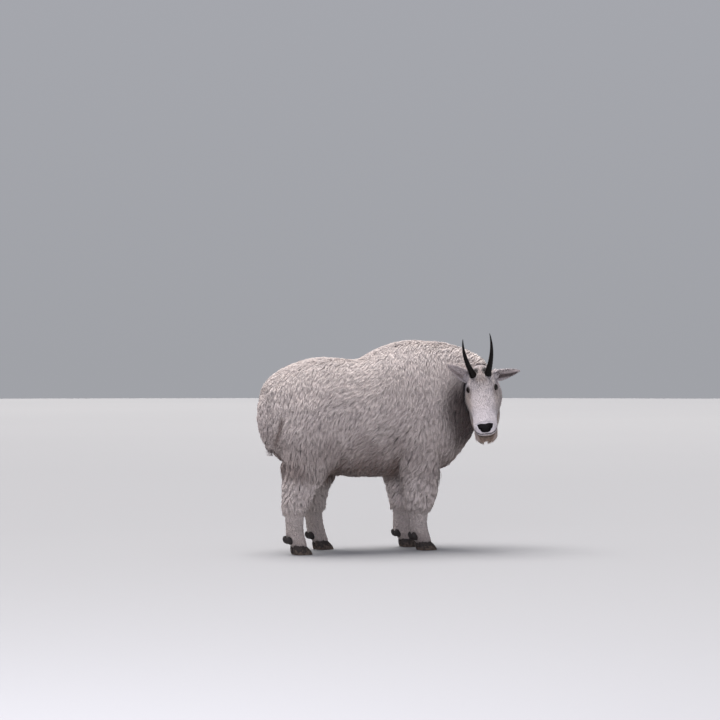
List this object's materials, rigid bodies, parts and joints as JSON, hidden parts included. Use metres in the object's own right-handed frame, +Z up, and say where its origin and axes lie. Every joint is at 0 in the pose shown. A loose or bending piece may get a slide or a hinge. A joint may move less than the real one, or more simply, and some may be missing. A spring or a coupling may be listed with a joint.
{
  "type": "mountain goat",
  "caption": "Life-size standing goat in a long shaggy coat, head turned to its right, with slender backswept horns, cupped ears, a short beard and cloven hooves.",
  "frame": {"origin": "on the ground, under the middle of the bounding box", "axes": "+X to the front of the trunk and the longest way of the object, +Y to the animal's left, +Z up"},
  "size_m": [1.2105, 0.5014, 0.9973],
  "materials": {
    "coat": "long cream wool over a dense undercoat",
    "horn": "black horn, satin, ringed at its foot",
    "nose": "bare black skin, moist",
    "eye": "wet dark brown",
    "hoof": "dark horn, scuffed"
  },
  "bodies": {
    "root": {"torso": "coat", "neck": "coat", "head": "coat", "tail": "coat", "ear_right": "coat", "ear_left": "coat", "leg_fore_right_upper": "coat", "leg_fore_right_lower": "coat", "leg_fore_left_upper": "coat", "leg_fore_left_lower": "coat", "leg_hind_right_upper": "coat", "leg_hind_right_lower": "coat", "leg_hind_left_upper": "coat", "leg_hind_left_lower": "coat", "horn_right": "horn", "horn_left": "horn", "nose_pad": "nose", "eye_right": "eye", "eye_left": "eye", "hoof_fore_right_outer": "hoof", "hoof_fore_right_inner": "hoof", "hoof_fore_left_outer": "hoof", "hoof_fore_left_inner": "hoof", "hoof_hind_right_outer": "hoof", "hoof_hind_right_inner": "hoof", "hoof_hind_left_outer": "hoof", "hoof_hind_left_inner": "hoof", "dewclaw_fore_right_outer": "hoof", "dewclaw_fore_right_inner": "hoof", "dewclaw_fore_left_outer": "hoof", "dewclaw_fore_left_inner": "hoof", "dewclaw_hind_right_outer": "hoof", "dewclaw_hind_right_inner": "hoof", "dewclaw_hind_left_outer": "hoof", "dewclaw_hind_left_inner": "hoof"}
  },
  "joints": []
}
